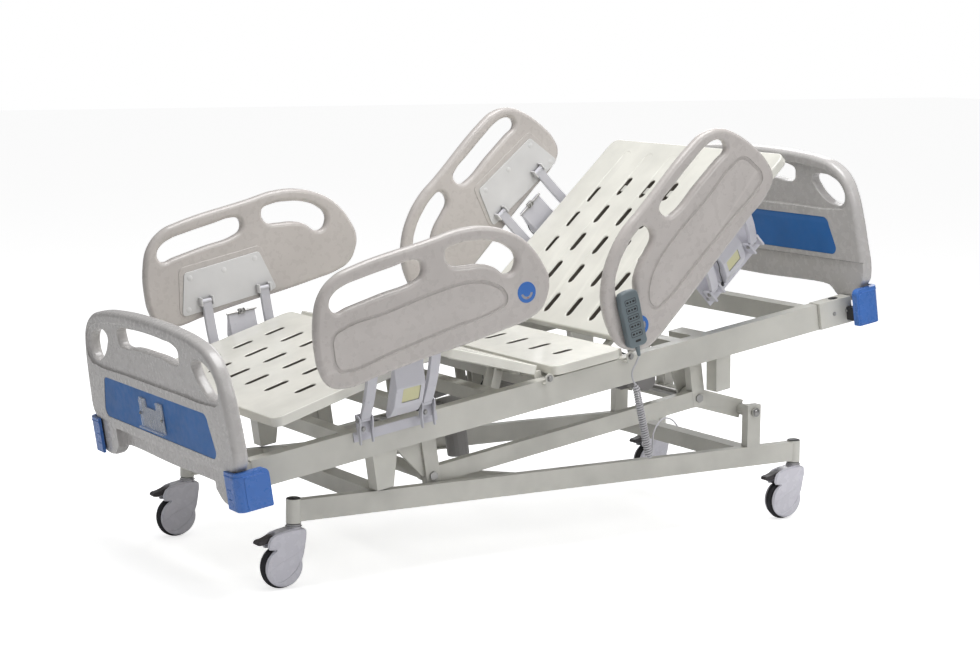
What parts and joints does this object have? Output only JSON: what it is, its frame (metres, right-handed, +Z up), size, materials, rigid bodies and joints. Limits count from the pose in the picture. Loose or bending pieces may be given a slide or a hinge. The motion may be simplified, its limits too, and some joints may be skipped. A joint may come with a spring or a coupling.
{
  "type": "hospital bed",
  "caption": "Adjustable hospital bed on a lifting base: sectioned mattress deck that bends, end boards, fold-down side rails, corner bumpers and braked swivel casters.",
  "frame": {"origin": "middle of the bounding box at floor level", "axes": "+X towards the head end, +Y towards the side without the handset, +Z up"},
  "size_m": [2.2542, 1.1718, 1.2609],
  "materials": {
    "powder_coat": "cream powder coat, satin",
    "deck_plastic": "ivory, glossy",
    "rail_plastic": "warm light grey, satin",
    "board_plastic": "light grey, satin",
    "blue_panel": "blue, glossy",
    "blue_bumper": "blue, satin",
    "caster_plastic": "lavender white, satin",
    "tyre_rubber": "near-black rubber",
    "pedal_plastic": "dark brown-black",
    "lever_grey": "lavender grey, satin",
    "actuator_grey": "mid grey, satin",
    "zinc": "zinc plated",
    "clear_plastic": "clear, polished",
    "handset_plastic": "blue-grey, satin",
    "cable_grey": "light grey, matte"
  },
  "bodies": {
    "base": {"base_frame": "powder_coat"},
    "foot_near_caster": {"foot_near_caster_housing": "caster_plastic"},
    "foot_near_caster_wheel": {"foot_near_caster_wheel": "tyre_rubber"},
    "foot_near_caster_pedal": {"foot_near_caster_pedal": "pedal_plastic"},
    "foot_far_caster": {"foot_far_caster_housing": "caster_plastic"},
    "foot_far_caster_wheel": {"foot_far_caster_wheel": "tyre_rubber"},
    "foot_far_caster_pedal": {"foot_far_caster_pedal": "pedal_plastic"},
    "head_near_caster": {"head_near_caster_housing": "caster_plastic"},
    "head_near_caster_wheel": {"head_near_caster_wheel": "tyre_rubber"},
    "head_near_caster_pedal": {"head_near_caster_pedal": "pedal_plastic"},
    "head_far_caster": {"head_far_caster_housing": "caster_plastic"},
    "head_far_caster_wheel": {"head_far_caster_wheel": "tyre_rubber"},
    "head_far_caster_pedal": {"head_far_caster_pedal": "pedal_plastic"},
    "lift_crank": {"head_crank": "powder_coat"},
    "head_pivot": {"head_pivot_shaft": "zinc"},
    "bed": {"bed_frame": "powder_coat", "headboard": "board_plastic", "headboard_panel": "blue_panel", "footboard": "board_plastic", "footboard_panel": "blue_panel", "card_holder": "clear_plastic", "seat_panel": "deck_plastic", "control_box": "actuator_grey", "foot_near_rail_bracket": "lever_grey", "foot_far_rail_bracket": "lever_grey", "foot_near_bumper": "blue_bumper", "foot_far_bumper": "blue_bumper", "head_near_bumper": "blue_bumper", "head_far_bumper": "blue_bumper"},
    "foot_pivot": {"foot_pivot_shaft": "zinc"},
    "foot_crank": {"foot_crank": "powder_coat"},
    "back": {"back_frame": "powder_coat", "back_panel": "deck_plastic", "head_near_rail_bracket": "lever_grey", "head_far_rail_bracket": "lever_grey"},
    "thigh": {"thigh_frame": "powder_coat", "thigh_panel": "deck_plastic"},
    "leg": {"leg_panel": "deck_plastic"},
    "head_lift_motor": {"head_lift_motor": "actuator_grey"},
    "head_lift_rod": {"head_lift_rod": "zinc"},
    "foot_lift_motor": {"foot_lift_motor": "actuator_grey"},
    "foot_lift_rod": {"foot_lift_rod": "zinc"},
    "back_lift_motor": {"back_lift_motor": "actuator_grey"},
    "back_lift_rod": {"back_lift_rod": "zinc"},
    "knee_lift_motor": {"knee_lift_motor": "actuator_grey"},
    "knee_lift_rod": {"knee_lift_rod": "zinc"},
    "foot_near_rail_arms": {"foot_near_rail_arms": "lever_grey", "foot_near_rail_latch": "lever_grey"},
    "foot_near_rail": {"foot_near_rail_panel": "rail_plastic"},
    "foot_far_rail_arms": {"foot_far_rail_arms": "lever_grey", "foot_far_rail_latch": "lever_grey"},
    "foot_far_rail": {"foot_far_rail_panel": "rail_plastic"},
    "head_near_rail_arms": {"head_near_rail_arms": "lever_grey", "head_near_rail_latch": "lever_grey"},
    "head_near_rail": {"head_near_rail_panel": "rail_plastic", "handset": "handset_plastic", "handset_cable": "cable_grey"},
    "head_far_rail_arms": {"head_far_rail_arms": "lever_grey", "head_far_rail_latch": "lever_grey"},
    "head_far_rail": {"head_far_rail_panel": "rail_plastic"}
  },
  "joints": [
    {"name": "foot_near_caster_swivel", "type": "hinge", "parent": "base", "child": "foot_near_caster", "pos_m": [-0.8352, -0.30415, 0], "axis": [0, 0, 1], "continuous": true},
    {"name": "foot_near_caster_roll", "type": "hinge", "parent": "foot_near_caster", "child": "foot_near_caster_wheel", "pos_m": [-0.8732, -0.30415, 0.0625], "axis": [0, 1, 0], "continuous": true},
    {"name": "foot_near_caster_brake", "type": "hinge", "parent": "foot_near_caster", "child": "foot_near_caster_pedal", "pos_m": [-0.9012, -0.30415, 0.142], "axis": [0, 1, 0], "range_deg": [-18, 0]},
    {"name": "foot_far_caster_swivel", "type": "hinge", "parent": "base", "child": "foot_far_caster", "pos_m": [-0.8352, 0.40785, 0], "axis": [0, 0, 1], "continuous": true},
    {"name": "foot_far_caster_roll", "type": "hinge", "parent": "foot_far_caster", "child": "foot_far_caster_wheel", "pos_m": [-0.8732, 0.40785, 0.0625], "axis": [0, 1, 0], "continuous": true},
    {"name": "foot_far_caster_brake", "type": "hinge", "parent": "foot_far_caster", "child": "foot_far_caster_pedal", "pos_m": [-0.9012, 0.40785, 0.142], "axis": [0, 1, 0], "range_deg": [-18, 0]},
    {"name": "head_near_caster_swivel", "type": "hinge", "parent": "base", "child": "head_near_caster", "pos_m": [0.9153, -0.30415, 0], "axis": [0, 0, 1], "continuous": true},
    {"name": "head_near_caster_roll", "type": "hinge", "parent": "head_near_caster", "child": "head_near_caster_wheel", "pos_m": [0.8773, -0.30415, 0.0625], "axis": [0, 1, 0], "continuous": true},
    {"name": "head_near_caster_brake", "type": "hinge", "parent": "head_near_caster", "child": "head_near_caster_pedal", "pos_m": [0.8493, -0.30415, 0.142], "axis": [0, 1, 0], "range_deg": [-18, 0]},
    {"name": "head_far_caster_swivel", "type": "hinge", "parent": "base", "child": "head_far_caster", "pos_m": [0.9153, 0.40785, 0], "axis": [0, 0, 1], "continuous": true},
    {"name": "head_far_caster_roll", "type": "hinge", "parent": "head_far_caster", "child": "head_far_caster_wheel", "pos_m": [0.8773, 0.40785, 0.0625], "axis": [0, 1, 0], "continuous": true},
    {"name": "head_far_caster_brake", "type": "hinge", "parent": "head_far_caster", "child": "head_far_caster_pedal", "pos_m": [0.8493, 0.40785, 0.142], "axis": [0, 1, 0], "range_deg": [-18, 0]},
    {"name": "head_lift", "type": "hinge", "parent": "base", "child": "lift_crank", "pos_m": [0.7448, 0.05185, 0.352], "axis": [0, 1, 0], "range_deg": [-44.2, 5]},
    {"name": "head_tilt", "type": "hinge", "parent": "lift_crank", "child": "head_pivot", "pos_m": [0.556, 0.05185, 0.40571], "axis": [0, 1, 0], "range_deg": [-6.2, 53.24]},
    {"name": "foot_lift", "type": "hinge", "parent": "head_pivot", "child": "bed", "pos_m": [0.556, 0.05185, 0.40571], "axis": [0, 1, 0], "range_deg": [0, 8.9]},
    {"name": "foot_pivot_turn", "type": "hinge", "parent": "bed", "child": "foot_pivot", "pos_m": [-0.38157, 0.05185, 0.25889], "axis": [0, 1, 0], "range_deg": [-9.04, 1.2]},
    {"name": "foot_crank_turn", "type": "hinge", "parent": "foot_pivot", "child": "foot_crank", "pos_m": [-0.38157, 0.05185, 0.25889], "axis": [0, 1, 0], "range_deg": [-0.2, 17.78]},
    {"name": "back_lift", "type": "hinge", "parent": "bed", "child": "back", "pos_m": [0.21357, 0.05185, 0.57578], "axis": [0, -1, 0], "range_deg": [-35, 38]},
    {"name": "knee_lift", "type": "hinge", "parent": "bed", "child": "thigh", "pos_m": [-0.068, 0.05185, 0.53169], "axis": [0, 1, 0], "range_deg": [-22.8, 15]},
    {"name": "leg_bend", "type": "hinge", "parent": "thigh", "child": "leg", "pos_m": [-0.42717, 0.05185, 0.62057], "axis": [0, 1, 0], "range_deg": [-20.92, 31.7]},
    {"name": "head_lift_motor_swing", "type": "hinge", "parent": "bed", "child": "head_lift_motor", "pos_m": [-0.00334, 0.15185, 0.40315], "axis": [0, 1, 0], "range_deg": [-12.62, 1.6]},
    {"name": "head_lift_rod_stroke", "type": "slide", "parent": "head_lift_motor", "child": "head_lift_rod", "axis": [0.9958, 0, 0.0917], "range_m": [-0.09307, 0.01097]},
    {"name": "foot_lift_motor_swing", "type": "hinge", "parent": "bed", "child": "foot_lift_motor", "pos_m": [-0.00179, 0.05185, 0.39327], "axis": [0, 1, 0], "range_deg": [-0.532, 0.2]},
    {"name": "foot_lift_rod_stroke", "type": "slide", "parent": "foot_lift_motor", "child": "foot_lift_rod", "axis": [-0.9979, 0, -0.0646], "range_m": [-0.03405, 0.0005]},
    {"name": "back_lift_motor_swing", "type": "hinge", "parent": "bed", "child": "back_lift_motor", "pos_m": [-0.18555, 0.26185, 0.36449], "axis": [0, 1, 0], "range_deg": [-5.29, 4.89]},
    {"name": "back_lift_rod_stroke", "type": "slide", "parent": "back_lift_motor", "child": "back_lift_rod", "axis": [0.9761, 0, 0.2172], "range_m": [-0.06953, 0.07544]},
    {"name": "knee_lift_motor_swing", "type": "hinge", "parent": "bed", "child": "knee_lift_motor", "pos_m": [0.46298, -0.10815, 0.47617], "axis": [0, 1, 0], "range_deg": [-1.71, 1.19]},
    {"name": "knee_lift_rod_stroke", "type": "slide", "parent": "knee_lift_motor", "child": "knee_lift_rod", "axis": [-0.9922, 0, -0.1247], "range_m": [-0.04905, 0.03244]},
    {"name": "foot_near_rail_fold", "type": "hinge", "parent": "bed", "child": "foot_near_rail_arms", "pos_m": [-0.57567, -0.41015, 0.48357], "axis": [0.988, 0, 0.1547], "range_deg": [0, 135]},
    {"name": "foot_near_rail_level", "type": "hinge", "parent": "foot_near_rail_arms", "child": "foot_near_rail", "pos_m": [-0.6062, -0.51464, 0.67854], "axis": [0.988, 0, 0.1547], "range_deg": [-135.2, 0.2]},
    {"name": "foot_far_rail_fold", "type": "hinge", "parent": "bed", "child": "foot_far_rail_arms", "pos_m": [-0.57567, 0.51385, 0.48357], "axis": [-0.988, 0, -0.1547], "range_deg": [0, 150]},
    {"name": "foot_far_rail_level", "type": "hinge", "parent": "foot_far_rail_arms", "child": "foot_far_rail", "pos_m": [-0.61, 0.53894, 0.70278], "axis": [-0.988, 0, -0.1547], "range_deg": [-150.2, 0.2]},
    {"name": "head_near_rail_fold", "type": "hinge", "parent": "back", "child": "head_near_rail_arms", "pos_m": [0.57692, -0.41015, 0.82483], "axis": [0.7206, 0, 0.6934], "range_deg": [0, 135]},
    {"name": "head_near_rail_level", "type": "hinge", "parent": "head_near_rail_arms", "child": "head_near_rail", "pos_m": [0.44008, -0.51464, 0.96702], "axis": [0.7206, 0, 0.6934], "range_deg": [-135.2, 0.2]},
    {"name": "head_far_rail_fold", "type": "hinge", "parent": "back", "child": "head_far_rail_arms", "pos_m": [0.57692, 0.51385, 0.82483], "axis": [-0.7206, 0, -0.6934], "range_deg": [0, 150]},
    {"name": "head_far_rail_level", "type": "hinge", "parent": "head_far_rail_arms", "child": "head_far_rail", "pos_m": [0.42306, 0.53894, 0.98471], "axis": [-0.7206, 0, -0.6934], "range_deg": [-150.2, 0.2]}
  ],
  "couplings": [
    {"joint": "head_tilt", "follows": "head_lift", "ratio": -1.2},
    {"joint": "foot_pivot_turn", "follows": "head_lift", "ratio": 0.2},
    {"joint": "foot_crank_turn", "follows": "foot_lift", "ratio": 1.975},
    {"joint": "leg_bend", "follows": "knee_lift", "ratio": -1.3816},
    {"joint": "head_lift_motor_swing", "follows": "head_lift", "ratio": 0.281},
    {"joint": "head_lift_rod_stroke", "follows": "head_lift", "m_per_rad": 0.12},
    {"joint": "foot_lift_motor_swing", "follows": "foot_lift", "ratio": -0.0373},
    {"joint": "foot_lift_rod_stroke", "follows": "foot_lift", "m_per_rad": -0.216},
    {"joint": "back_lift_motor_swing", "follows": "back_lift", "ratio": -0.134},
    {"joint": "back_lift_rod_stroke", "follows": "back_lift", "m_per_rad": 0.113},
    {"joint": "knee_lift_motor_swing", "follows": "knee_lift", "ratio": 0.066},
    {"joint": "knee_lift_rod_stroke", "follows": "knee_lift", "m_per_rad": 0.122},
    {"joint": "foot_near_rail_level", "follows": "foot_near_rail_fold", "ratio": -1},
    {"joint": "foot_far_rail_level", "follows": "foot_far_rail_fold", "ratio": -1},
    {"joint": "head_near_rail_level", "follows": "head_near_rail_fold", "ratio": -1},
    {"joint": "head_far_rail_level", "follows": "head_far_rail_fold", "ratio": -1}
  ]
}
